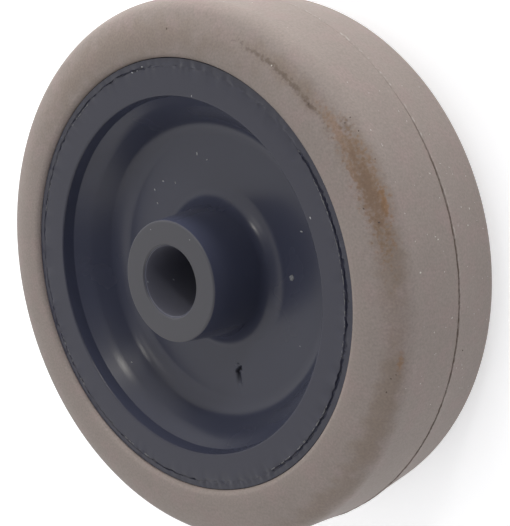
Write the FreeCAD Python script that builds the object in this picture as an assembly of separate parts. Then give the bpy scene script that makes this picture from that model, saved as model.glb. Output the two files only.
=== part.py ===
import FreeCAD, Part
import math
import os

# A gangway wheel: a moulded black plastic centre with a grey rubber tyre moulded round its rim.
# Millimetres. The axle runs along Z and the origin is the middle of the bore.
# Every section below is the half above the middle plane. The wheel is the same on both sides.

# Boss and bore
bore_radius = 8.0
hub_length = 41.0
boss_wall = 5.8
boss_draft_deg = 5.0
bore_chamfer = 0.5
boss_edge_round = 0.5
boss_foot_fillet = 3.2

# Dished web: nearly flat beside the boss, then a round up into a steep cone under the rim
web_thickness = 6.4
web_slope_deg = 2.2
bowl_round = 6.5
bowl_cone_deg = 54.5

# Rim
rim_outer_radius = 48.9
rim_face_width = 8.3
rim_face_fall = 0.4
rim_wall_depth = 3.1
rim_wall_draft_deg = 6.0
rim_inner_edge_round = 0.5
rim_recess = 1.0
ledge_width = 1.4
ledge_drop = 0.15

# Groove and rib round the outside of the rim that key the rubber to it
flange_thickness = 4.0
groove_depth = 3.4
groove_draft_deg = 20.0
key_rib_width = 5.0
key_rib_height = 1.8
key_rib_draft_deg = 20.0

# Tyre
tyre_width = 37.0
tyre_thickness = 13.6
side_crown_offset = 2.4
side_crown_radius = 18.0
shoulder_radius = 4.5
tread_draft_deg = 4.5
lip_round = 0.4
parting_flash_height = 0.15
parting_flash_width = 0.5


def point(r, z):
    """A point of a section, at radius r and height z."""
    return FreeCAD.Vector(r, 0, z)


def line(start, end):
    return Part.LineSegment(start, end).toShape()


def arc(start, through, end):
    return Part.Arc(start, through, end).toShape()


def rounded_path(corners):
    """Edges along corners given as (point, rounding), with tangent arcs at the rounded ones."""
    edges = []
    here = corners[0][0]
    for (before, _), (corner, rounding), (after, _) in zip(corners, corners[1:], corners[2:]):
        back = (before - corner).normalize()
        on = (after - corner).normalize()
        half_angle = 0.5 * back.getAngle(on)
        reach = rounding / math.tan(half_angle)
        if rounding > 0:
            start = corner + back * reach
            end = corner + on * reach
            inward = (back + on).normalize()
            middle = corner + inward * (rounding / math.sin(half_angle) - rounding)
            edges += [line(here, start), arc(start, middle, end)]
            here = end
        else:
            edges.append(line(here, corner))
            here = corner
    edges.append(line(here, corners[-1][0]))
    return edges


def revolve_both_sides(half_edges):
    """Mirror a half section in the middle plane, close it and turn it round the axle."""
    origin = FreeCAD.Vector(0, 0, 0)
    axis = FreeCAD.Vector(0, 0, 1)
    other_edges = [edge.mirror(origin, axis) for edge in half_edges]
    loop = Part.Wire(Part.sortEdges(half_edges + other_edges)[0])
    solid = Part.Face(loop).revolve(origin, axis, 360)
    return Part.Solid(solid.Shells[0]).removeSplitter()


def slope(height, draft_deg):
    """How far a drafted wall leans over that height."""
    return height * math.tan(math.radians(draft_deg))


# Places shared by the two pieces
hub_half = hub_length / 2
web_half = web_thickness / 2
tyre_half = tyre_width / 2
rim_face = tyre_half - rim_recess
ledge_face = rim_face - ledge_drop
groove_top = ledge_face - flange_thickness
groove_radius = rim_outer_radius - groove_depth


def key_corners():
    """The line where rubber and rim meet, from the edge ledge down to the middle plane."""
    rib_half = key_rib_width / 2
    rib_radius = groove_radius + key_rib_height
    groove_lean = slope(groove_depth, groove_draft_deg)
    rib_lean = slope(key_rib_height, key_rib_draft_deg)
    return [point(rim_outer_radius, ledge_face),
            point(rim_outer_radius, groove_top),
            point(groove_radius, groove_top - groove_lean),
            point(groove_radius, rib_half + rib_lean),
            point(rib_radius, rib_half),
            point(rib_radius, 0)]


def wheel_centre():
    """One moulding: bore, drafted boss, dished web, rim with its edge ledge and key groove."""
    boss_radius = bore_radius + boss_wall
    boss_foot = boss_radius + slope(hub_half - web_half, boss_draft_deg)
    rim_inner = point(rim_outer_radius - rim_face_width, rim_face - rim_face_fall)
    wall_foot = rim_inner - point(slope(rim_wall_depth, rim_wall_draft_deg), rim_wall_depth)
    # the web's line and the cone's line cross where the bowl is rounded
    web_rise = math.tan(math.radians(web_slope_deg))
    cone_rise = math.tan(math.radians(bowl_cone_deg))
    bowl_reach = ((wall_foot.z - web_half - (wall_foot.x - boss_foot) * cone_rise)
                  / (web_rise - cone_rise))
    bowl_corner = point(boss_foot + bowl_reach, web_half + bowl_reach * web_rise)
    ledge_inner = rim_outer_radius - ledge_width
    near_face = rounded_path([(point(bore_radius, 0), 0),
                              (point(bore_radius, hub_half - bore_chamfer), 0),
                              (point(bore_radius + bore_chamfer, hub_half), 0),
                              (point(boss_radius, hub_half), boss_edge_round),
                              (point(boss_foot, web_half), boss_foot_fillet),
                              (bowl_corner, bowl_round),
                              (wall_foot, 0),
                              (rim_inner, rim_inner_edge_round),
                              (point(ledge_inner, rim_face), 0),
                              (point(ledge_inner, ledge_face), 0)]
                             + [(corner, 0) for corner in key_corners()])
    return revolve_both_sides(near_face)


def tyre():
    """One rubber ring: crowned side walls, round shoulders, drafted tread with its flash line."""
    tread_radius = rim_outer_radius + tyre_thickness
    draft = math.radians(tread_draft_deg)
    flash_half = parting_flash_width / 2
    # the side wall is an arc about this centre, highest a little outside the rim
    side_centre = point(rim_outer_radius + side_crown_offset, tyre_half - side_crown_radius)
    # the shoulder's centre lies one shoulder radius inside both the tread and the side wall
    tread_way = FreeCAD.Vector(-math.sin(draft), 0, math.cos(draft))
    tread_out = FreeCAD.Vector(math.cos(draft), 0, math.sin(draft))
    offset_foot = point(tread_radius, 0) - tread_out * shoulder_radius
    span = offset_foot - side_centre
    reach = side_crown_radius - shoulder_radius
    along = span.dot(tread_way)
    step = -along + math.sqrt(along ** 2 - span.dot(span) + reach ** 2)
    shoulder_centre = offset_foot + tread_way * step
    side_out = (shoulder_centre - side_centre).normalize()
    side_end = shoulder_centre + side_out * shoulder_radius
    tread_end = shoulder_centre + tread_out * shoulder_radius
    shoulder_out = (side_out + tread_out).normalize()
    shoulder_middle = shoulder_centre + shoulder_out * shoulder_radius
    # the lip is the rounded edge where the side wall turns down to the rim
    lip_lean = side_crown_offset / side_crown_radius
    lip_top = side_centre.z + side_crown_radius * math.cos(math.asin(lip_lean))
    lip_corner = point(rim_outer_radius, lip_top)
    side_start = point(rim_outer_radius + lip_round,
                       side_centre.z + math.sqrt(side_crown_radius ** 2
                                                 - (side_crown_offset - lip_round) ** 2))
    lip_start = lip_corner - FreeCAD.Vector(0, 0, lip_round)
    lip_middle = point(rim_outer_radius + lip_round * (1 - math.sqrt(0.5)),
                       lip_start.z + (side_start.z - lip_start.z) * math.sqrt(0.5))
    side_mid_out = (side_start - side_centre).normalize() + side_out
    side_middle = side_centre + side_mid_out.normalize() * side_crown_radius
    flash_foot = point(tread_radius, 0) + tread_way * flash_half
    flash_top = point(tread_radius + parting_flash_height, 0)
    key = [(corner, 0) for corner in reversed(key_corners())]
    edges = rounded_path(key + [(lip_start, 0)])
    edges += [arc(lip_start, lip_middle, side_start),
              arc(side_start, side_middle, side_end),
              arc(side_end, shoulder_middle, tread_end),
              line(tread_end, flash_foot),
              line(flash_foot, flash_top)]
    return revolve_both_sides(edges)


os.makedirs("parts", exist_ok=True)
for name, build in (("wheel_centre", wheel_centre), ("tyre", tyre)):
    shape = build()
    shape.exportStep(f"parts/{name}.step")
    print(name, "valid", shape.isValid(), "volume", round(shape.Volume, 1), "faces", len(shape.Faces))
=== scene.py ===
# Gangway wheel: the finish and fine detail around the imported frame.
# Metres, in the frame of the CAD. The wheel lies on the end of its boss with the axle along Z.
import math
import random

import bpy
from mathutils import Matrix, Vector


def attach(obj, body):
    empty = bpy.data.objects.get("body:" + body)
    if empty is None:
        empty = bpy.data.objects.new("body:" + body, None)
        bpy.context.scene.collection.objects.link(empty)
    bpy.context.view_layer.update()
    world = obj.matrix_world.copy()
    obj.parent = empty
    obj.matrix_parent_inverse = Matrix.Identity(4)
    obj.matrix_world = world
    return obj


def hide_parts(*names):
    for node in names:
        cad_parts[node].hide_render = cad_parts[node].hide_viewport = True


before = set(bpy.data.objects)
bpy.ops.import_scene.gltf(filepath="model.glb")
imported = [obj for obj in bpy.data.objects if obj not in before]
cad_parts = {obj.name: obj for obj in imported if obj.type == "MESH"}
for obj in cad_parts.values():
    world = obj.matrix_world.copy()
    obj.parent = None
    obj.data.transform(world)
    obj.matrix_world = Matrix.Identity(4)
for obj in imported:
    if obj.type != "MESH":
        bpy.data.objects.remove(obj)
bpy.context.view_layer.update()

# Wheel centre
# The real one is a single injection moulding in semi-gloss black plastic: a plain bored boss, a
# dished web on each side and a wide flat rim. Where the mould closed beside the rubber it left a
# ragged line round the rim, and the gate left a small torn scar in the web.

MM = 0.001
BORE_RADIUS = 8.0
HUB_HALF = 20.5
BORE_CHAMFER = 0.5
BORE_EDGE_ROUND = 0.15
BOSS_RADIUS = 13.8
BOSS_DRAFT = 5.0
BOSS_EDGE_ROUND = 0.5
WEB_HALF = 3.2
BOSS_FOOT_ROUND = 4.2
WEB_SLOPE = 2.2
BOWL_ROUND = 5.5
BOWL_CONE = 59.5
HIP_RADIUS = 38.0
HIP_ROUND = 12.0
HIP_CONE = 50.0
RIM_FALL = 0.4
WALL_DEPTH = 3.1
WALL_DRAFT = 6.0
WALL_FOOT_ROUND = 0.3
RIM_INNER = 40.6
RIM_EDGE_ROUND = 0.5
RIM_OUTER = 48.9
RIM_FACE = 17.5
FACE_RING = 46.2
FACE_RING_DROP = 0.04
CREASE_RADIUS = 47.23
CREASE_HALF = 0.27
CREASE_FLOOR = 17.10
CREASE_FLOOR_IN = 0.08
CREASE_FLOOR_OUT = 0.06
CREASE_EDGE_ROUND = 0.08
LEDGE_FACE = 17.32
LEDGE_EDGE_ROUND = 0.06
LEDGE_END_ROUND = 0.05
LEDGE_BEVEL = 0.17
LEDGE_BEVEL_DROP = 0.24
GROOVE_TOP = 13.35
GROOVE_RADIUS = 45.5
GROOVE_DEPTH = 3.4
KEY_RIB_HALF = 2.5
KEY_RIB_RADIUS = 47.3
KEY_RIB_HEIGHT = 1.8
KEY_DRAFT = 20.0
SCAR_RADIUS = 24.5
SCAR_AZIMUTH = -87.5
SCAR_HEIGHT = 3.5
STEPS_ROUND = 560
# the flat held beside an arc, in mm, and the degrees between an arc's points on each side
HELD_FLAT = 0.12
NEAR_ARC_STEP = 8.0
FAR_ARC_STEP = 24.0
# longest run between two section points over the web and rim, and where the scar lies, in mm
LONGEST_RUN = 3.2
DISH_SPAN = (13.0, 47.0)
SCAR_RUN = 0.3
SCAR_SPAN = (21.9, 26.3)


def rounded(corners, degrees_per_step):
    """Points along (r, z, rounding) corners in mm, with fine arcs and a held flat beside each."""
    points = [Vector(corners[0][:2])]
    for before, corner, after in zip(corners, corners[1:], corners[2:]):
        here = Vector(corner[:2])
        rounding = corner[2]
        if rounding == 0:
            points.append(here)
            continue
        back = (Vector(before[:2]) - here).normalized()
        ahead = (Vector(after[:2]) - here).normalized()
        half = 0.5 * back.angle(ahead)
        reach = rounding / math.tan(half)
        centre = here + (back + ahead).normalized() * (rounding / math.sin(half))
        start = here + back * reach
        turn = math.pi - 2 * half
        steps = max(2, round(math.degrees(turn) / degrees_per_step * min(1.0, math.sqrt(rounding))))
        side = 1.0 if back.cross(ahead) < 0 else -1.0
        held = min(HELD_FLAT, 0.2 * reach + 0.03)
        points.append(start + back * held)
        for i in range(steps + 1):
            spoke = start - centre
            spoke.rotate(Matrix.Rotation(side * turn * i / steps, 2))
            points.append(centre + spoke)
        points.append(here + ahead * (reach + held))
    points.append(Vector(corners[-1][:2]))
    return points


def filled(points, longest, between):
    """The same path with extra points in long straight runs that lie between two radii."""
    dense = [points[0]]
    for before, here in zip(points, points[1:]):
        parts = math.ceil((here - before).length / longest)
        if not between[0] <= min(before.x, here.x) <= max(before.x, here.x) <= between[1]:
            parts = 1
        dense += [before.lerp(here, i / parts) for i in range(1, parts)] + [here]
    return dense


def lean(distance, degrees):
    """Sideways run of a slope of those degrees over that distance."""
    return distance * math.tan(math.radians(degrees))


def key_corners():
    """Where rubber and rim are keyed together, from the rim's edge to the middle plane, in mm."""
    groove_foot = GROOVE_TOP - lean(GROOVE_DEPTH, KEY_DRAFT)
    rib_foot = KEY_RIB_HALF + lean(KEY_RIB_HEIGHT, KEY_DRAFT)
    return [Vector(p) for p in ((RIM_OUTER, GROOVE_TOP), (GROOVE_RADIUS, groove_foot),
                                (GROOVE_RADIUS, rib_foot), (KEY_RIB_RADIUS, KEY_RIB_HALF),
                                (KEY_RIB_RADIUS, 0))]


def centre_side(degrees_per_step):
    """From the bore's middle out over boss, web, bowl and rim to the key's middle, in mm."""
    boss_foot = BOSS_RADIUS + lean(HUB_HALF - WEB_HALF, BOSS_DRAFT)
    edge_z = RIM_FACE - RIM_FALL
    foot_r = RIM_INNER - lean(WALL_DEPTH, WALL_DRAFT)
    foot_z = edge_z - WALL_DEPTH
    hip_z = foot_z - lean(foot_r - HIP_RADIUS, HIP_CONE)
    # the web's line and the cone's line cross where the bowl is rounded
    run = (hip_z - WEB_HALF - lean(HIP_RADIUS - boss_foot, BOWL_CONE)) / (lean(1, WEB_SLOPE)
                                                                          - lean(1, BOWL_CONE))
    skin = rounded([(BORE_RADIUS, 0, 0), (BORE_RADIUS, HUB_HALF - BORE_CHAMFER, BORE_EDGE_ROUND),
                    (BORE_RADIUS + BORE_CHAMFER, HUB_HALF, BORE_EDGE_ROUND),
                    (BOSS_RADIUS, HUB_HALF, BOSS_EDGE_ROUND), (boss_foot, WEB_HALF, BOSS_FOOT_ROUND),
                    (boss_foot + run, WEB_HALF + lean(run, WEB_SLOPE), BOWL_ROUND),
                    (HIP_RADIUS, hip_z, HIP_ROUND), (foot_r, foot_z, WALL_FOOT_ROUND),
                    (RIM_INNER, edge_z, RIM_EDGE_ROUND), (FACE_RING, RIM_FACE - FACE_RING_DROP, 0),
                    (CREASE_RADIUS - CREASE_HALF, RIM_FACE, CREASE_EDGE_ROUND),
                    (CREASE_RADIUS - CREASE_FLOOR_IN, CREASE_FLOOR, 0),
                    (CREASE_RADIUS + CREASE_FLOOR_OUT, CREASE_FLOOR, 0),
                    (CREASE_RADIUS + CREASE_HALF, LEDGE_FACE, LEDGE_EDGE_ROUND),
                    (RIM_OUTER - LEDGE_BEVEL, LEDGE_FACE, LEDGE_END_ROUND),
                    (RIM_OUTER, LEDGE_FACE - LEDGE_BEVEL_DROP, 0)],
                   degrees_per_step)
    return skin + key_corners()


def section_object(name, near, far):
    """A closed loop of edges in the XZ plane: one side's path and the other side's, turned over."""
    loop = near + [Vector((p.x, -p.y)) for p in reversed(far)]
    kept = [p for i, p in enumerate(loop) if (p - loop[i - 1]).length > 1e-4]
    mesh = bpy.data.meshes.new(name)
    verts = [(p.x * MM, 0.0, p.y * MM) for p in kept]
    edges = [(i, (i + 1) % len(kept)) for i in range(len(kept))]
    mesh.from_pydata(verts, edges, [])
    made = bpy.data.objects.new(name, mesh)
    bpy.context.scene.collection.objects.link(made)
    return made


def node(tree, kind, inputs=None, **settings):
    """Add a node, set it up, and feed its inputs with links or plain values."""
    made = tree.nodes.new(kind)
    for name, value in settings.items():
        setattr(made, name, value)
    for socket, value in (inputs or {}).items():
        if isinstance(value, bpy.types.NodeSocket):
            tree.links.new(value, made.inputs[socket])
        else:
            made.inputs[socket].default_value = value
    return made


def calc(tree, operation, *values):
    """Output of a Math node fed with those links or numbers."""
    return node(tree, "ShaderNodeMath", dict(enumerate(values)), operation=operation).outputs[0]


def span(tree, value, low, high, at_low=0.0, at_high=1.0):
    """That value eased from one level to another between two limits."""
    given = {"Value": value, "From Min": low, "From Max": high, "To Min": at_low, "To Max": at_high}
    return node(tree, "ShaderNodeMapRange", given, interpolation_type="SMOOTHSTEP").outputs[0]


def vector(tree, operation, *values):
    """Output of a Vector Math node fed with those links or vectors."""
    return node(tree, "ShaderNodeVectorMath", dict(enumerate(values)), operation=operation).outputs[0]


def scaled(tree, way, amount):
    """That vector times a number."""
    given = {0: way, "Scale": amount}
    return node(tree, "ShaderNodeVectorMath", given, operation="SCALE").outputs[0]


def length(tree, way):
    """How long that vector is."""
    return node(tree, "ShaderNodeVectorMath", {0: way}, operation="LENGTH").outputs["Value"]


def height_of(tree, place):
    """Height above the middle plane."""
    return node(tree, "ShaderNodeSeparateXYZ", {0: place}).outputs[2]


FLAT = (1, 1, 0)


def radius_of(tree, place):
    """Distance from the axle."""
    flat = vector(tree, "MULTIPLY", place, FLAT)
    return length(tree, flat)


def azimuth_of(tree, place):
    """Angle round the axle in degrees, from -180 to 180."""
    parts = node(tree, "ShaderNodeSeparateXYZ", {0: place}).outputs
    return calc(tree, "DEGREES", calc(tree, "ARCTAN2", parts[1], parts[0]))


def new_tree(name, inputs):
    """An empty Geometry Nodes tree with those inputs, and its group input's sockets."""
    tree = bpy.data.node_groups.new(name, "GeometryNodeTree")
    for label, kind in inputs.items():
        tree.interface.new_socket(label, in_out="INPUT", socket_type="NodeSocket" + kind)
    tree.interface.new_socket("Geometry", in_out="OUTPUT", socket_type="NodeSocketGeometry")
    return tree, tree.nodes.new("NodeGroupInput").outputs


def close_tree(tree, shape, finish):
    """Realize the instances, set the material and end the tree."""
    whole = node(tree, "GeometryNodeRealizeInstances", {0: shape}).outputs[0]
    done = node(tree, "GeometryNodeSetMaterial", {"Geometry": whole, "Material": finish}).outputs[0]
    node(tree, "NodeGroupOutput", {0: done})


NOISE_MIDDLE = (0.5, 0.5, 0.5)
RAG_CORE = 0.35
RAG_REACH = 0.7
SHARP_BEND = 40
GAP_CORE = 0.6


def turning_tree():
    """Nodes that sweep a section round the axle, with a faint unevenness and a ragged line."""
    tree, given = new_tree("turn_section", {
        "Section": "Geometry", "Steps round": "Int", "Guide radius": "Float", "Unevenness": "Float",
        "Patch size": "Float", "Line radius": "Float", "Line height": "Float", "Raggedness": "Float",
        "Rag size": "Float", "Gap at": "Float", "Gap half": "Float", "Second gap at": "Float",
        "Second gap half": "Float", "Line on tread": "Float", "Seed": "Float", "Finish": "Material"})
    outline = node(tree, "GeometryNodeMeshToCurve", {0: given["Section"]}).outputs[0]
    inward = calc(tree, "MULTIPLY", given["Guide radius"], -1.0)
    shift = node(tree, "ShaderNodeCombineXYZ", {0: inward}).outputs[0]
    outline = node(tree, "GeometryNodeTransform",
                   {"Geometry": outline, "Translation": shift}).outputs[0]
    # the section is laid flat, so that its x runs outward and its z upward in the sweep
    flat = node(tree, "GeometryNodeTransform",
                {"Geometry": outline, "Rotation": (math.pi / 2, 0.0, 0.0)}).outputs[0]
    ring = node(tree, "GeometryNodeCurvePrimitiveCircle",
                {"Resolution": given["Steps round"], "Radius": given["Guide radius"]}).outputs[0]
    swept = node(tree, "GeometryNodeCurveToMesh", {"Curve": ring, "Profile Curve": flat}).outputs[0]
    place = tree.nodes.new("GeometryNodeInputPosition").outputs[0]
    density = calc(tree, "DIVIDE", 1.0, given["Patch size"])
    swell = node(tree, "ShaderNodeTexNoise", {"Vector": place, "W": given["Seed"], "Scale": density,
                                              "Detail": 2.0}, noise_dimensions="4D").outputs[0]
    swing = calc(tree, "MULTIPLY", calc(tree, "SUBTRACT", swell, 0.5), given["Unevenness"])
    normal = tree.nodes.new("GeometryNodeInputNormal").outputs[0]
    uneven = scaled(tree, normal, swing)
    # close to the ragged line the skin is pushed about at random
    out_by = calc(tree, "SUBTRACT", radius_of(tree, place), given["Line radius"])
    height = height_of(tree, place)
    up_by = calc(tree, "SUBTRACT", calc(tree, "ABSOLUTE", height), given["Line height"])
    gap = length(tree, node(tree, "ShaderNodeCombineXYZ", {0: out_by, 1: up_by}).outputs[0])
    beside = span(tree, gap, RAG_CORE * MM, RAG_REACH * MM, 1.0, 0.0)
    strength = calc(tree, "MULTIPLY", beside, given["Raggedness"])
    close_up = calc(tree, "DIVIDE", 1.0, given["Rag size"])
    ragged = node(tree, "ShaderNodeTexNoise", {"Vector": place, "W": given["Seed"], "Scale": close_up,
                                               "Detail": 1.0}, noise_dimensions="4D").outputs["Color"]
    ragged = vector(tree, "SUBTRACT", ragged, NOISE_MIDDLE)
    push = scaled(tree, ragged, strength)
    push = vector(tree, "ADD", push, uneven)
    # in the line's gaps it closes up flush with the skin on both sides
    azimuth = azimuth_of(tree, place)
    shut = None
    for at, half in (("Gap at", "Gap half"), ("Second gap at", "Second gap half")):
        turned_by = calc(tree, "ABSOLUTE", calc(tree, "SUBTRACT", azimuth, given[at]))
        part = calc(tree, "DIVIDE", turned_by, given[half])
        part = span(tree, part, GAP_CORE, 1.0, 1.0, 0.0)
        shut = part if shut is None else calc(tree, "MAXIMUM", shut, part)
    shut = calc(tree, "MULTIPLY", shut, beside)
    spoke = vector(tree, "MULTIPLY", place, FLAT)
    spoke = vector(tree, "NORMALIZE", spoke)
    out_back = calc(tree, "MULTIPLY", calc(tree, "MULTIPLY", out_by, given["Line on tread"]), -1.0)
    out_back = calc(tree, "MULTIPLY", out_back, shut)
    on_side = calc(tree, "SUBTRACT", 1.0, given["Line on tread"])
    up_back = calc(tree, "MULTIPLY", calc(tree, "MULTIPLY", up_by, on_side), -1.0)
    up_back = calc(tree, "MULTIPLY", calc(tree, "MULTIPLY", up_back, calc(tree, "SIGN", height)), shut)
    back = scaled(tree, spoke, out_back)
    rise = node(tree, "ShaderNodeCombineXYZ", {2: up_back}).outputs[0]
    push = vector(tree, "ADD", push, back)
    push = vector(tree, "ADD", push, rise)
    moved = node(tree, "GeometryNodeSetPosition", {"Geometry": swept, "Offset": push}).outputs[0]
    smooth = node(tree, "GeometryNodeSetShadeSmooth", {0: moved}).outputs[0]
    bend = tree.nodes.new("GeometryNodeInputMeshEdgeAngle").outputs["Unsigned Angle"]
    crisp = calc(tree, "GREATER_THAN", bend, math.radians(SHARP_BEND))
    edged = node(tree, "GeometryNodeSetShadeSmooth", {0: smooth, 1: crisp, 2: False}, domain="EDGE")
    close_tree(tree, edged.outputs[0], given["Finish"])
    return tree


def made_by(tree, source, name, values):
    """Run a node tree on an object with those inputs, and keep the result as a plain mesh."""
    modifier = source.modifiers.new("make", "NODES")
    modifier.node_group = tree
    for item in tree.interface.items_tree:
        if item.in_out == "INPUT" and item.name in values:
            modifier[item.identifier] = values[item.name]
    ready = source.evaluated_get(bpy.context.evaluated_depsgraph_get())
    mesh = bpy.data.meshes.new_from_object(ready)
    mesh.name = name
    made = bpy.data.objects.new(name, mesh)
    bpy.context.scene.collection.objects.link(made)
    bpy.data.objects.remove(source)
    return made


SCAR_RAG = 2.6
SCAR_RAG_SHIFT = -1.2
SCAR_CORE = 0.35
SCAR_REACH = 0.75


def scar_tree():
    """Nodes that sink a ragged pit into the skin at one place and note how torn it is, for the pit's
    painted shade.
    """
    tree, given = new_tree("tear_scar", {
        "Skin": "Geometry", "Place": "Vector", "Width": "Float", "Length": "Float",
        "Depth": "Float", "Rag size": "Float", "Seed": "Float", "Finish": "Material"})
    place = tree.nodes.new("GeometryNodeInputPosition").outputs[0]
    off = vector(tree, "SUBTRACT", place, given["Place"])
    size = {0: given["Width"], 1: given["Length"], 2: 1.0}
    size = node(tree, "ShaderNodeCombineXYZ", size).outputs[0]
    off = vector(tree, "DIVIDE", off, size)
    away = length(tree, off)
    close_up = calc(tree, "DIVIDE", 1.0, given["Rag size"])
    rag = node(tree, "ShaderNodeTexNoise", {"Vector": place, "W": given["Seed"], "Scale": close_up},
               noise_dimensions="4D").outputs[0]
    away = calc(tree, "ADD", away, calc(tree, "MULTIPLY_ADD", rag, SCAR_RAG, SCAR_RAG_SHIFT))
    torn_and_shaded = span(tree, away, SCAR_CORE, SCAR_REACH, 1.0, 0.0)
    height = height_of(tree, place)
    torn_and_shaded = calc(tree, "MULTIPLY", torn_and_shaded, calc(tree, "GREATER_THAN", height, 0.0))
    sink = calc(tree, "MULTIPLY", torn_and_shaded, calc(tree, "MULTIPLY", given["Depth"], -1.0))
    drop = node(tree, "ShaderNodeCombineXYZ", {2: sink}).outputs[0]
    noted = node(tree, "GeometryNodeStoreNamedAttribute",
                 {"Geometry": given["Skin"], "Name": "torn_and_shaded", "Value": torn_and_shaded}, domain="POINT").outputs[0]
    pitted = node(tree, "GeometryNodeSetPosition", {"Geometry": noted, "Offset": drop}).outputs[0]
    close_tree(tree, pitted, given["Finish"])
    return tree


def new_material(name):
    """A material with its Principled shader and Object coordinates at hand."""
    material = bpy.data.materials.new(name)
    material.use_nodes = True
    tree = material.node_tree
    shader = tree.nodes["Principled BSDF"]
    place = tree.nodes.new("ShaderNodeTexCoord").outputs["Object"]
    return material, tree, shader, place


def speckle(tree, place, size, detail=2.0):
    """Noise with features of about that size in metres."""
    given = {"Vector": place, "Scale": 1.0 / size, "Detail": detail}
    return node(tree, "ShaderNodeTexNoise", given).outputs[0]


def blend(tree, amount, low, high):
    """Mix of two colours, given as links or as red, green and blue."""
    colours = [c if isinstance(c, bpy.types.NodeSocket) else (*c, 1.0) for c in (low, high)]
    mixed = node(tree, "ShaderNodeMix", {"Factor": amount, "A": colours[0], "B": colours[1]},
                 data_type="RGBA")
    return mixed.outputs["Result"]


PLASTIC_DARK = (0.046, 0.050, 0.080)
PLASTIC_LIGHT = (0.054, 0.058, 0.087)
PLASTIC_RIM = (0.037, 0.039, 0.061)
PLASTIC_DRY = (0.070, 0.070, 0.083)
# the bore's colour is painted light, lighter than the black plastic
PLASTIC_BORE_PAINTED_LIGHT = (0.13, 0.13, 0.16)
# the scar's near-black colour is painted shade in its pit
PLASTIC_PIT_SHADE = (0.010, 0.010, 0.014)
PLASTIC_IOR = 1.45
PLASTIC_SHEEN = (1.0, 0.955, 0.86, 1.0)
PLASTIC_SHINE = 0.5
PLASTIC_ROUGHNESS = 0.22
CLOUD_ROUGHNESS = 0.08
DRY_ROUGHNESS = 0.18
BORE_ROUGHNESS = 0.2
TORN_ROUGHNESS = 0.35
TORN_SHINE = -0.42
PLASTIC_CLOUD = 14
PLASTIC_GRAIN = 0.35
PLASTIC_WAVE = 2.5


def black_plastic():
    """Semi-gloss black moulding: greyer on the rim, dry on the boss ends and in the bore, with painted
    light in the bore and painted shade in the gate scar's pit.
    """
    material, tree, shader, place = new_material("black_plastic")
    shader.inputs["IOR"].default_value = PLASTIC_IOR
    shader.inputs["Specular Tint"].default_value = PLASTIC_SHEEN
    cloud = speckle(tree, place, PLASTIC_CLOUD * MM, 3.0)
    tone = blend(tree, cloud, PLASTIC_DARK, PLASTIC_LIGHT)
    height = calc(tree, "ABSOLUTE", height_of(tree, place))
    boss_end = calc(tree, "GREATER_THAN", height, (HUB_HALF - 0.3) * MM)
    radius = radius_of(tree, place)
    on_rim = span(tree, radius, (RIM_INNER - 0.3) * MM, RIM_INNER * MM)
    on_rim = calc(tree, "MULTIPLY", on_rim, calc(tree, "GREATER_THAN", height, (RIM_FACE - 0.8) * MM))
    tone = blend(tree, on_rim, tone, PLASTIC_RIM)
    in_bore = calc(tree, "LESS_THAN", radius, (BORE_RADIUS + 0.1) * MM)
    dry = calc(tree, "MAXIMUM", boss_end, in_bore)
    tone = blend(tree, boss_end, tone, PLASTIC_DRY)
    # painted light: the bore is painted lighter than the black plastic
    tone = blend(tree, in_bore, tone, PLASTIC_BORE_PAINTED_LIGHT)
    # painted shade: the gate scar's pit is painted nearly black
    torn_and_shaded = node(tree, "ShaderNodeAttribute", attribute_name="torn_and_shaded").outputs["Fac"]
    tone = blend(tree, torn_and_shaded, tone, PLASTIC_PIT_SHADE)
    tree.links.new(tone, shader.inputs["Base Color"])
    gloss = calc(tree, "MULTIPLY_ADD", cloud, CLOUD_ROUGHNESS, PLASTIC_ROUGHNESS)
    gloss = calc(tree, "MULTIPLY_ADD", dry, DRY_ROUGHNESS, gloss)
    gloss = calc(tree, "MULTIPLY_ADD", in_bore, BORE_ROUGHNESS, gloss)
    gloss = calc(tree, "MULTIPLY_ADD", torn_and_shaded, TORN_ROUGHNESS, gloss)
    tree.links.new(gloss, shader.inputs["Roughness"])
    shine = calc(tree, "MULTIPLY_ADD", torn_and_shaded, TORN_SHINE, PLASTIC_SHINE)
    tree.links.new(shine, shader.inputs["Specular IOR Level"])
    wave = speckle(tree, place, PLASTIC_WAVE * MM)
    grain = calc(tree, "ADD", speckle(tree, place, PLASTIC_GRAIN * MM), wave)
    bump = node(tree, "ShaderNodeBump", {"Height": grain, "Strength": 0.05, "Distance": 0.1 * MM})
    tree.links.new(bump.outputs[0], shader.inputs["Normal"])
    return material


plastic = black_plastic()
near_side = filled(centre_side(NEAR_ARC_STEP), LONGEST_RUN, DISH_SPAN)
near_side = filled(near_side, SCAR_RUN, SCAR_SPAN)
far_side = centre_side(FAR_ARC_STEP)
centre_section = section_object("centre_section", near_side, far_side)
turn_section = turning_tree()
skin = made_by(turn_section, centre_section, "centre_skin",
               {"Steps round": STEPS_ROUND, "Guide radius": 30 * MM, "Unevenness": 0.04 * MM,
                "Patch size": 12 * MM, "Line radius": CREASE_RADIUS * MM,
                "Line height": LEDGE_FACE * MM, "Raggedness": 0.95 * MM, "Rag size": 1.1 * MM,
                "Gap at": 62.0, "Gap half": 36.0, "Second gap at": -78.0, "Second gap half": 18.0,
                "Line on tread": 0.0, "Seed": 3.0, "Finish": plastic})
scar_way = math.radians(SCAR_AZIMUTH)
scar_at = [SCAR_RADIUS * math.cos(scar_way) * MM, SCAR_RADIUS * math.sin(scar_way) * MM,
           SCAR_HEIGHT * MM]
centre = made_by(scar_tree(), skin, "wheel_centre_moulding",
                 {"Place": scar_at, "Width": 1.5 * MM, "Length": 2.4 * MM, "Depth": 0.45 * MM,
                  "Rag size": 0.8 * MM, "Seed": 2.0, "Finish": plastic})
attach(centre, "root")
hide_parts("wheel_centre")

# Nibs and burrs of the wheel centre
# Slivers of pale flash and dust moulded into the black plastic, one round gate pip on the web,
# and torn burrs along the ragged line of the rim; the pip and the burrs are painted pale as
# highlights. They are part of the moulding's skin.


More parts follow.
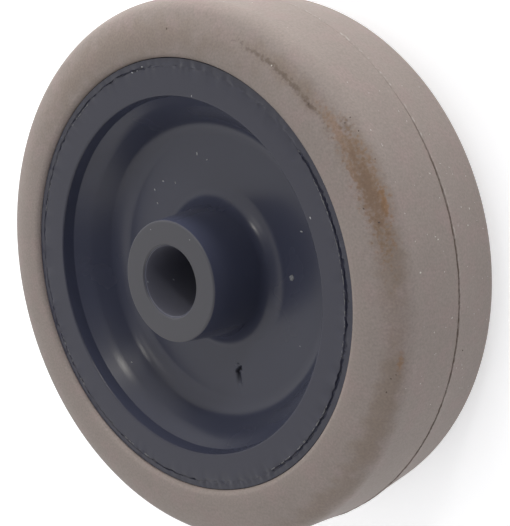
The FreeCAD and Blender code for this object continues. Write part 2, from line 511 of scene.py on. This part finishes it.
def strewing_tree():
    """Nodes that put an uneven sliver on each place, turned with the skin and stretched by its size."""
    tree, given = new_tree("strew_nibs", {
        "Places": "Geometry", "Stretch": "Vector", "Turning": "Float", "Facets": "Int",
        "Seed": "Int", "Finish": "Material"})
    blob = node(tree, "GeometryNodeMeshIcoSphere", {"Radius": 1.0, "Subdivisions": given["Facets"]})
    blob = blob.outputs[0]
    place = tree.nodes.new("GeometryNodeInputPosition").outputs[0]
    rough = node(tree, "ShaderNodeTexNoise", {"Vector": place, "Scale": 1.3}).outputs["Color"]
    rough = vector(tree, "SUBTRACT", rough, NOISE_MIDDLE)
    blob = node(tree, "GeometryNodeSetPosition", {"Geometry": blob, "Offset": rough}).outputs[0]
    blob = node(tree, "GeometryNodeSetShadeSmooth", {0: blob}).outputs[0]
    facing = node(tree, "GeometryNodeInputNamedAttribute", {"Name": "facing"}, data_type="FLOAT_VECTOR")
    along = node(tree, "GeometryNodeInputNamedAttribute", {"Name": "along"}, data_type="FLOAT_VECTOR")
    size = node(tree, "GeometryNodeInputNamedAttribute", {"Name": "size"}, data_type="FLOAT")
    turn = node(tree, "FunctionNodeAxesToRotation", {0: facing.outputs[0], 1: along.outputs[0]},
                primary_axis="Z", secondary_axis="X").outputs[0]
    swing = node(tree, "FunctionNodeRandomValue", {"Seed": given["Seed"]}, data_type="FLOAT").outputs[1]
    swing = calc(tree, "MULTIPLY", calc(tree, "MULTIPLY_ADD", swing, 2.0, -1.0), given["Turning"])
    twist = node(tree, "ShaderNodeCombineXYZ", {2: swing}).outputs[0]
    twist = node(tree, "FunctionNodeEulerToRotation", {0: twist}).outputs[0]
    turn = node(tree, "FunctionNodeRotateRotation", {0: turn, 1: twist}, rotation_space="LOCAL")
    turn = turn.outputs[0]
    scale = scaled(tree, given["Stretch"], size.outputs[0])
    strewn = node(tree, "GeometryNodeInstanceOnPoints",
                  {"Points": given["Places"], "Instance": blob, "Rotation": turn, "Scale": scale})
    close_tree(tree, strewn.outputs[0], given["Finish"])
    return tree


def on_skin(path, r, z):
    """The place of a section's path nearest to that radius and height, and its outward way."""
    best = None
    want = Vector((r, z))
    for before, here in zip(path, path[1:]):
        way = here - before
        t = max(0.0, min(1.0, (want - before).dot(way) / max(way.length_squared, 1e-9)))
        spot = before + way * t
        if best is None or (spot - want).length < best[0]:
            best = ((spot - want).length, spot, Vector((-way.y, way.x)).normalized())
    return best[1], best[2]


def marked_places(name, path, marks):
    """A mesh of points on the turned skin, one per (azimuth, radius, height, size) mark in mm."""
    verts, facing, along, sizes = [], [], [], []
    for azimuth, r, z, size in marks:
        spot, out = on_skin(path, r, z)
        a = math.radians(azimuth)
        verts.append((spot.x * math.cos(a) * MM, spot.x * math.sin(a) * MM, spot.y * MM))
        facing.append((out.x * math.cos(a), out.x * math.sin(a), out.y))
        along.append((-math.sin(a), math.cos(a), 0.0))
        sizes.append(size * MM)
    mesh = bpy.data.meshes.new(name)
    mesh.from_pydata(verts, [], [])
    for label, rows in (("facing", facing), ("along", along)):
        layer = mesh.attributes.new(label, "FLOAT_VECTOR", "POINT")
        layer.data.foreach_set("vector", [v for row in rows for v in row])
    mesh.attributes.new("size", "FLOAT", "POINT").data.foreach_set("value", sizes)
    made = bpy.data.objects.new(name, mesh)
    bpy.context.scene.collection.objects.link(made)
    return made


def pale_flash_and_highlight(name, dark, light):
    """Pale flash and dust caught in the plastic's skin, and painted highlights on the gate pip and the
    rim's burrs.
    """
    material, tree, shader, place = new_material(name)
    tone = blend(tree, speckle(tree, place, 0.4 * MM), dark, light)
    tree.links.new(tone, shader.inputs["Base Color"])
    shader.inputs["Roughness"].default_value = 0.45
    return material


strew_nibs = strewing_tree()
flash = pale_flash_and_highlight("pale_flash_and_highlight", (0.32, 0.32, 0.33), (0.62, 0.62, 0.62))
# the gate pip is painted pale as a highlight
pip_painted_highlight = pale_flash_and_highlight("gate_pip_painted_highlight", (0.12, 0.12, 0.13), (0.38, 0.38, 0.38))
# the burrs along the ragged line are painted pale as highlights
burr_painted_highlight = pale_flash_and_highlight("burr_painted_highlight", (0.05, 0.05, 0.06), (0.30, 0.30, 0.30))
# azimuth in degrees, then radius, height and size in mm
GATE_PIP = (-6.4, 21.3, 3.5, 0.66)
WEB_NIBS = [(96, 27.1, 3.6, 0.30), (90, 25.3, 3.6, 0.15), (126, 26.3, 3.6, 0.22),
            (119, 23.6, 3.5, 0.20), (134, 27.0, 3.6, 0.20), (139, 24.6, 3.6, 0.20),
            (17, 26.9, 3.6, 0.24), (17, 42.0, 17.2, 0.20), (97, 46.9, 17.5, 0.20),
            (95, 47.0, 17.5, 0.12), (93, 47.4, 17.5, 0.18), (74, 41.2, 17.2, 0.14),
            (107, 12.4, 20.5, 0.10), (48, 12.4, 20.5, 0.10), (-172, 8.0, 11.7, 0.20),
            (-143, 37.0, 9.4, 0.16), (-40, 27.7, 3.7, 0.12), (-179, 8.0, 19.6, 0.14)]
nibs = made_by(strew_nibs, marked_places("nib_places", near_side, WEB_NIBS), "moulding_nibs",
               {"Stretch": (1.4, 0.7, 0.5), "Turning": 3.1, "Facets": 2, "Seed": 4, "Finish": flash})
pip = made_by(strew_nibs, marked_places("pip_place", near_side, [GATE_PIP]), "gate_pip",
              {"Stretch": (0.95, 0.95, 0.7), "Turning": 0.0, "Facets": 4, "Seed": 1,
               "Finish": pip_painted_highlight})

# burrs stand in runs along the ragged line: start and end azimuth of each run
BURRS_PER_DEGREE = 1.5
BURR_RUNS = [(-64, -48), (-44, -34), (-20, 25), (118, 128), (150, 158), (196, 206), (236, 246)]
dice = random.Random(11)
burr_marks = []
for first, last in BURR_RUNS:
    for _ in range(int((last - first) * BURRS_PER_DEGREE)):
        inside = CREASE_RADIUS - CREASE_HALF - dice.uniform(0.0, 0.2)
        burr_marks.append((dice.uniform(first, last), inside, RIM_FACE, dice.uniform(0.05, 0.12)))
burrs = made_by(strew_nibs, marked_places("burr_places", near_side, burr_marks), "rim_burrs",
                {"Stretch": (5.0, 0.7, 0.7), "Turning": 0.12, "Facets": 2, "Seed": 9,
                 "Finish": burr_painted_highlight})
for piece in (nibs, pip, burrs):
    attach(piece, "root")

# Tyre
# The real one is a ring of taupe-grey rubber moulded round the rim, with crowned side walls and
# round shoulders. A crease and a fine ridge of flash run round the tread where the mould parted,
# and the shoulder is stained brown, with some rust, where it rubbed against metal.
# Painted shade darkens the top of the side wall, part of the shoulder and the parting's crease, and a
# painted highlight in flecks runs beside the parting.

TYRE_HALF = 18.5
TREAD_RADIUS = 62.5
CROWN_RADIUS = 18.0
CROWN_OFFSET = 2.4
SHOULDER_RADIUS = 4.5
TREAD_DRAFT = 4.5
LIP_ROUND = 1.3
FLASH_HEIGHT = 0.15
LIP_STEPS = 10
CROWN_STEPS = 18
SHOULDER_STEPS = 16
# where rings stand on the tread between the shoulder (0) and the parting (1)
TREAD_RINGS = (0.03, 0.2, 0.4, 0.6, 0.8)


def arc_points(centre, radius, start_deg, end_deg, steps):
    """Points of an arc in the section, angles from the r axis towards z."""
    angles = [math.radians(start_deg + (end_deg - start_deg) * i / steps) for i in range(steps + 1)]
    return [Vector((centre[0] + radius * math.cos(a), centre[1] + radius * math.sin(a)))
            for a in angles]


def tyre_side(parting):
    """From the key's middle out over lip, crown and shoulder, then the tread and its parting."""
    draft = math.radians(TREAD_DRAFT)
    crown = Vector((RIM_OUTER + CROWN_OFFSET, TYRE_HALF - CROWN_RADIUS))
    tread_way = Vector((-math.sin(draft), math.cos(draft)))
    tread_out = Vector((math.cos(draft), math.sin(draft)))
    foot = Vector((TREAD_RADIUS, 0)) - tread_out * SHOULDER_RADIUS
    span_to = foot - crown
    along = span_to.dot(tread_way)
    reach = CROWN_RADIUS - SHOULDER_RADIUS
    step = -along + math.sqrt(along ** 2 - span_to.dot(span_to) + reach ** 2)
    shoulder = foot + tread_way * step
    crown_end = math.degrees(math.atan2(*(shoulder - crown).yx))
    crown_start = math.degrees(math.acos(-(CROWN_OFFSET - LIP_ROUND) / CROWN_RADIUS))
    lip_z = crown.y + CROWN_RADIUS * math.sin(math.radians(crown_start))
    points = list(reversed(key_corners()))
    lip = (RIM_OUTER + LIP_ROUND, lip_z - LIP_ROUND)
    points += arc_points(lip, LIP_ROUND, 180, crown_start, LIP_STEPS)
    points += arc_points(crown, CROWN_RADIUS, crown_start, crown_end, CROWN_STEPS)[1:]
    points += arc_points(shoulder, SHOULDER_RADIUS, crown_end, TREAD_DRAFT, SHOULDER_STEPS)
    tread_end = shoulder + tread_out * SHOULDER_RADIUS
    tread = Vector((TREAD_RADIUS, 0))
    for up, out in parting:
        points.append(tread + tread_way * up + tread_out * out)
    first = points[-len(parting)]
    points[-len(parting):-len(parting)] = [tread_end.lerp(first, t) for t in TREAD_RINGS]
    return points


RUBBER_LOW = (0.254, 0.212, 0.189)
RUBBER_HIGH = (0.299, 0.249, 0.222)
RUBBER_PINK = (0.300, 0.232, 0.213)
# the grime colour also paints shade, the dirt colour also paints the shade in the parting's crease, and
# the fleck colour is a painted highlight
GRIME_AND_SHADE = (0.215, 0.165, 0.130)
RUST = (0.245, 0.135, 0.066)
PARTING_HIGHLIGHT = (0.420, 0.385, 0.350)
DIRT_AND_SHADE = (0.110, 0.075, 0.055)
RUBBER_IOR = 1.45
RUBBER_ROUGHNESS = 0.58
RUBBER_CLOUD = 16
RUBBER_BLOTCH = 6
RUBBER_GRAIN = 0.5
RUBBER_WAVE = 2.0
# the dirt and painted shade in the parting's crease and the painted highlight in flecks beside it, as
# heights in mm
CREASE_DIRT_AND_SHADE_AT = 0.27
PARTING_HIGHLIGHT_AT = -0.25
TREAD_FROM = 61.5
# stains and painted shade on the near shoulder and side wall, as azimuth and half its width in
# degrees, distance over the shoulder and half its width in mm, and strength. The grime patches at
# 45 and 98 degrees are painted shade; the others are brown grime with painted shade in it.
STAIN_AND_SHADE_CORE = 0.15
STAIN_AND_SHADE_REACH = 1.15
GRIME_AND_SHADE_PATCHES = [(-30, 32, 60.6, 4.8, 0.80), (6, 20, 60.2, 5.0, 0.80), (20, 16, 60.0, 5.2, 0.85),
                 (45, 20, 57.6, 3.4, 0.70), (-52, 22, 61.6, 4.8, 0.60), (98, 52, 53.5, 6.5, 0.50)]
RUST_PATCHES = [(14.2, 5.0, 61.9, 1.7, 0.90), (17, 15, 59.8, 4.0, 0.60), (21, 6, 57.6, 1.7, 0.60),
                (-16.5, 2.6, 62.2, 0.9, 0.60), (29, 9, 58.5, 2.0, 0.50)]
DIRT_PATCHES = [(47, 15, 56.6, 0.95, 0.62), (30, 2.0, 61.0, 2.0, 0.35), (38.5, 2.2, 56.3, 0.7, 0.80),
                (17, 11, 59.4, 3.0, 0.36)]


def stain_and_shade(tree, azimuth, across, ragged, patches):
    """Strongest of those soft patches at a place, with edges broken by the ragged noise."""
    total = None
    for middle, half, over, half_over, strength in patches:
        wide = calc(tree, "DIVIDE", calc(tree, "SUBTRACT", azimuth, middle), half)
        deep = calc(tree, "DIVIDE", calc(tree, "SUBTRACT", across, over * MM), half_over * MM)
        off = length(tree, node(tree, "ShaderNodeCombineXYZ", {0: wide, 1: deep}).outputs[0])
        off = calc(tree, "ADD", off, ragged)
        here = span(tree, off, STAIN_AND_SHADE_CORE, STAIN_AND_SHADE_REACH, strength, 0.0)
        total = here if total is None else calc(tree, "MAXIMUM", total, here)
    return total


def grey_rubber():
    """Matt taupe rubber: mottled, grainy, stained on one shoulder and dirty along the parting, with
    painted shade on the shoulder, the top of the side wall and in the parting's crease, and a painted
    highlight beside the parting.
    """
    material, tree, shader, place = new_material("grey_rubber")
    cloud = speckle(tree, place, RUBBER_CLOUD * MM, 4.0)
    tone = blend(tree, cloud, RUBBER_LOW, RUBBER_HIGH)
    pink = span(tree, speckle(tree, place, RUBBER_BLOTCH * MM), 0.45, 0.7, 0.0, 0.6)
    tone = blend(tree, pink, tone, RUBBER_PINK)
    height = height_of(tree, place)
    radius = radius_of(tree, place)
    azimuth = azimuth_of(tree, place)
    # distance over the near shoulder: the radius on the side wall, growing on down the tread
    across = calc(tree, "ADD", radius, calc(tree, "SUBTRACT", (TYRE_HALF - 0.1) * MM, height))
    rag = calc(tree, "MULTIPLY_ADD", speckle(tree, place, 3.0 * MM, 5.0), 1.6, -0.8)
    fine_rag = calc(tree, "MULTIPLY_ADD", speckle(tree, place, 0.8 * MM, 4.0), 2.8, -1.4)
    # brown grime and painted shade on the shoulder and the top of the side wall
    tone = blend(tree, stain_and_shade(tree, azimuth, across, rag, GRIME_AND_SHADE_PATCHES), tone, GRIME_AND_SHADE)
    tone = blend(tree, stain_and_shade(tree, azimuth, across, fine_rag, RUST_PATCHES), tone, RUST)
    dirt_and_shade = stain_and_shade(tree, azimuth, across, fine_rag, DIRT_PATCHES)
    # dirt and painted shade in the parting's crease, fading round the tread
    parting_gap = calc(tree, "ABSOLUTE", calc(tree, "SUBTRACT", height, CREASE_DIRT_AND_SHADE_AT * MM))
    parting = span(tree, calc(tree, "ADD", parting_gap, calc(tree, "MULTIPLY", fine_rag, 0.1 * MM)),
                   0.08 * MM, 0.2 * MM, 0.85, 0.0)
    on_tread = calc(tree, "GREATER_THAN", radius, TREAD_FROM * MM)
    fading = calc(tree, "MULTIPLY", on_tread, span(tree, azimuth, 5.0, 45.0, 1.0, 0.3))
    dirt_and_shade = calc(tree, "MAXIMUM", dirt_and_shade, calc(tree, "MULTIPLY", parting, fading))
    tone = blend(tree, dirt_and_shade, tone, DIRT_AND_SHADE)
    # a painted highlight in pale flecks beside the parting, on its far side
    highlight_gap = calc(tree, "ABSOLUTE", calc(tree, "SUBTRACT", height, PARTING_HIGHLIGHT_AT * MM))
    parting_highlight = span(tree, highlight_gap, 0.1 * MM, 0.5 * MM, 0.75, 0.0)
    parting_highlight = calc(tree, "MULTIPLY", parting_highlight, span(tree, speckle(tree, place, 1.1 * MM), 0.52, 0.62))
    parting_highlight = calc(tree, "MULTIPLY", parting_highlight, on_tread)
    tone = blend(tree, parting_highlight, tone, PARTING_HIGHLIGHT)
    grain = speckle(tree, place, RUBBER_GRAIN * MM, 3.0)
    grey = node(tree, "ShaderNodeHueSaturation",
                {"Color": tone, "Value": calc(tree, "MULTIPLY_ADD", grain, 0.5, 0.75)}).outputs[0]
    tree.links.new(grey, shader.inputs["Base Color"])
    shader.inputs["Roughness"].default_value = RUBBER_ROUGHNESS
    shader.inputs["IOR"].default_value = RUBBER_IOR
    relief = calc(tree, "ADD", grain, speckle(tree, place, RUBBER_WAVE * MM))
    bump = node(tree, "ShaderNodeBump", {"Height": relief, "Strength": 0.25, "Distance": 0.1 * MM})
    tree.links.new(bump.outputs[0], shader.inputs["Normal"])
    return material


rubber = grey_rubber()
# the parting, up from the middle plane and out from the tread, in mm
near_parting = [(0.46, 0.0), (0.40, -0.02), (0.32, -0.14), (0.20, -0.14), (0.12, 0.08),
                (0.04, FLASH_HEIGHT), (0.0, FLASH_HEIGHT)]
far_parting = [(0.40, 0.0), (0.22, 0.02), (0.06, FLASH_HEIGHT), (0.0, FLASH_HEIGHT)]
tyre_near = tyre_side(near_parting)
tyre_far = tyre_side(far_parting)
tyre_skin = tyre_near + [Vector((p.x, -p.y)) for p in reversed(tyre_far)]
tyre_section = section_object("tyre_section", tyre_near, tyre_far)
tyre = made_by(turn_section, tyre_section, "tyre_ring",
               {"Steps round": STEPS_ROUND, "Guide radius": 55 * MM, "Unevenness": 0.06 * MM,
                "Patch size": 15 * MM, "Line radius": TREAD_RADIUS * MM, "Line height": 0.15 * MM,
                "Raggedness": 0.3 * MM, "Rag size": 0.9 * MM, "Gap at": 76.0, "Gap half": 62.0,
                "Second gap at": -120.0, "Second gap half": 10.0, "Line on tread": 1.0,
                "Seed": 8.0, "Finish": rubber})
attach(tyre, "root")
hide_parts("tyre")

# Specks on the tyre
# Bits of flash, grit and paint dust that stick to the rubber: most of them pale, a few dark.


def grit(name, dark, light):
    """Dry grit in a range of tones."""
    material, tree, shader, place = new_material(name)
    tone = blend(tree, speckle(tree, place, 0.5 * MM), dark, light)
    tree.links.new(tone, shader.inputs["Base Color"])
    shader.inputs["Roughness"].default_value = 0.8
    return material


# azimuth in degrees, then radius, height and size in mm
PALE_SPECKS = [(17, 62.3, 2.3, 0.20), (9, 61.9, -8.3, 0.20), (6, 62.0, -6.2, 0.22),
               (5.6, 62.0, 5.8, 0.16), (6.4, 61.8, 8.1, 0.14), (5.0, 62.1, 5.2, 0.18),
               (0, 61.6, 11.9, 0.24), (-21, 62.2, -4.1, 0.18), (-22, 62.2, -4.8, 0.14),
               (-21.6, 61.7, 10.1, 0.16), (50.5, 55.9, 17.9, 0.16), (38, 61.6, 11.0, 0.14)]
DARK_SPECKS = [(-17.7, 62.3, -3.1, 0.20), (-23, 58.6, 16.9, 0.18), (82, 54.9, 18.1, 0.22),
               (10.7, 58.1, 17.2, 0.24), (14.1, 56.0, 17.9, 0.20), (38.4, 56.0, 17.9, 0.20),
               (31, 60.5, 15.6, 0.16), (30.6, 59.4, 16.5, 0.14), (22, 60.8, 15.2, 0.14),
               (-20, 58.9, 16.8, 0.16), (-19, 59.6, 16.4, 0.14), (28, 60.5, 15.5, 0.16)]
# a dusting of fine pale specks on the tread and shoulder, drawn by chance from a fixed seed
FINE_SPECKS = 70
for _ in range(FINE_SPECKS):
    PALE_SPECKS.append((dice.gauss(2, 24), 62.0, dice.uniform(-14, 15), dice.uniform(0.08, 0.15)))
for name, marks, dark, light in (("pale_specks", PALE_SPECKS, (0.45, 0.42, 0.38), (0.75, 0.72, 0.66)),
                                 ("dark_specks", DARK_SPECKS, (0.05, 0.035, 0.03), (0.13, 0.09, 0.07))):
    specks = made_by(strew_nibs, marked_places(name + "_places", tyre_skin, marks), name,
                     {"Stretch": (1.1, 0.8, 0.4), "Turning": 3.1, "Facets": 2, "Seed": 6,
                      "Finish": grit(name, dark, light)})
    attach(specks, "root")

# Setting
# A plain white floor under the boss end and white surroundings. A long low soft light stands on
# the photo's upper side with a compact one above it, and the side behind the camera is dark.

FLOOR_Z = -HUB_HALF
PHOTO_WIDTH = 510
FOCAL_PIXELS = 1204.15
AXIS_RIGHT = 18.42
AXIS_DOWN = 23.44
FLOOR_SIZE = 6.0
FLOOR_GLOW = 0.5
PAPER = (0.86, 0.86, 0.86, 1)
ROOM_LEVEL = 0.85


def seen_directly(tree):
    """1 for the rays that show the background: camera, glossy and transmission rays."""
    rays = tree.nodes.new("ShaderNodeLightPath").outputs
    mirrored = calc(tree, "MAXIMUM", rays["Is Glossy Ray"], rays["Is Transmission Ray"])
    return calc(tree, "MAXIMUM", rays["Is Camera Ray"], mirrored)


bpy.ops.mesh.primitive_grid_add(x_subdivisions=2, y_subdivisions=2, size=FLOOR_SIZE,
                                location=(0, 0, FLOOR_Z * MM))
floor = bpy.context.object
floor.name = "floor"
paper, leaf, sheet, _ = new_material("white_paper")
sheet.inputs["Base Color"].default_value = PAPER
sheet.inputs["Roughness"].default_value = 0.9
sheet.inputs["Specular IOR Level"].default_value = 0.0
glow_level = calc(leaf, "MULTIPLY", seen_directly(leaf), FLOOR_GLOW)
glow = node(leaf, "ShaderNodeEmission", {"Strength": glow_level})
both = node(leaf, "ShaderNodeAddShader", {0: sheet.outputs[0], 1: glow.outputs[0]})
leaf.links.new(both.outputs[0], leaf.nodes["Material Output"].inputs["Surface"])
floor.data.materials.append(paper)

world = bpy.data.worlds.new("white_room")
world.use_nodes = True
bpy.context.scene.world = world
sky = world.node_tree
level = node(sky, "ShaderNodeMapRange",
             {"Value": seen_directly(sky), "To Min": ROOM_LEVEL, "To Max": 1.0})
sky.links.new(level.outputs[0], sky.nodes["Background"].inputs["Strength"])
sky.nodes["Background"].inputs["Color"].default_value = (1, 1, 1, 1)

# the unlit side of the room, behind the camera: a dark card with a soft edge, not seen directly
CARD_WAY = Vector((0.75, -0.13, 0.65))
CARD_AWAY = 0.6
CARD_CORE = 0.24
CARD_RADIUS = 0.76
CARD_SIDEWAYS = 0.88
CARD_UPRIGHT = 1.22
CARD_CLOTH = (0.20, 0.21, 0.25, 1)
bpy.ops.mesh.primitive_circle_add(vertices=64, radius=1.0, fill_type="NGON",
                                  location=CARD_WAY.normalized() * CARD_AWAY)
card = bpy.context.object
card.name = "dark_side"
card.rotation_euler = CARD_WAY.to_track_quat("Z", "Y").to_euler()
card.visible_camera = False
gloom, dim, cloth, spot = new_material("dark_side")
cloth.inputs["Base Color"].default_value = CARD_CLOTH
cloth.inputs["Specular IOR Level"].default_value = 0.0
stretched = vector(dim, "MULTIPLY", spot, (1 / CARD_SIDEWAYS, 1 / CARD_UPRIGHT, 1))
away = length(dim, stretched)
cover = node(dim, "ShaderNodeMapRange", {"Value": away, "From Min": CARD_CORE, "From Max": CARD_RADIUS,
                                         "To Min": 1.0, "To Max": 0.0})
dim.links.new(cover.outputs[0], cloth.inputs["Alpha"])
card.data.materials.append(gloom)


def soft_light(name, place, size, watts):
    """An elliptical area lamp aimed at the wheel."""
    lamp = bpy.data.lights.new(name, "AREA")
    lamp.shape = "ELLIPSE"
    lamp.size, lamp.size_y = size
    lamp.energy = watts
    made = bpy.data.objects.new(name, lamp)
    made.location = place
    made.rotation_euler = (-Vector(place)).to_track_quat("-Z", "Y").to_euler()
    bpy.context.scene.collection.objects.link(made)
    return made


key_light = soft_light("key_light", place=(-0.2, 0.93, 0.04), size=(1.4, 0.18), watts=10.0)
key_light.visible_glossy = False
fill_light = soft_light("fill_light", place=(0.9, -0.28, 0.04), size=(0.6, 0.2), watts=2.8)
fill_light.visible_glossy = False
soft_light("upper_light", place=(0.225, 0.558, 0.80), size=(0.32, 0.32), watts=0.35)
soft_light("small_light", place=(0.47, 0.73, 0.5), size=(0.13, 0.13), watts=1.0)

# the camera stands where the photo was taken from, with its frame shifted to match
SENSOR = 36.0
CAMERA_PLACE = (0.195525, 0.033415, 0.200829)
lens = bpy.data.cameras.new("camera")
lens.sensor_fit = "HORIZONTAL"
lens.sensor_width = SENSOR
lens.lens = FOCAL_PIXELS / PHOTO_WIDTH * SENSOR
lens.shift_x = -AXIS_RIGHT / PHOTO_WIDTH
lens.shift_y = AXIS_DOWN / PHOTO_WIDTH
lens.clip_start = 0.01
camera = bpy.data.objects.new("camera", lens)
right = Vector((0.744525, -0.125270, -0.655736))
upward = Vector((0.0, 0.982237, -0.187644))
backward = Vector((0.667595, 0.139705, 0.731300))
turned = Matrix((right, upward, backward)).transposed().to_4x4()
camera.matrix_world = Matrix.Translation(CAMERA_PLACE) @ turned
bpy.context.scene.collection.objects.link(camera)
bpy.context.scene.camera = camera

bpy.context.scene.view_settings.view_transform = "Standard"
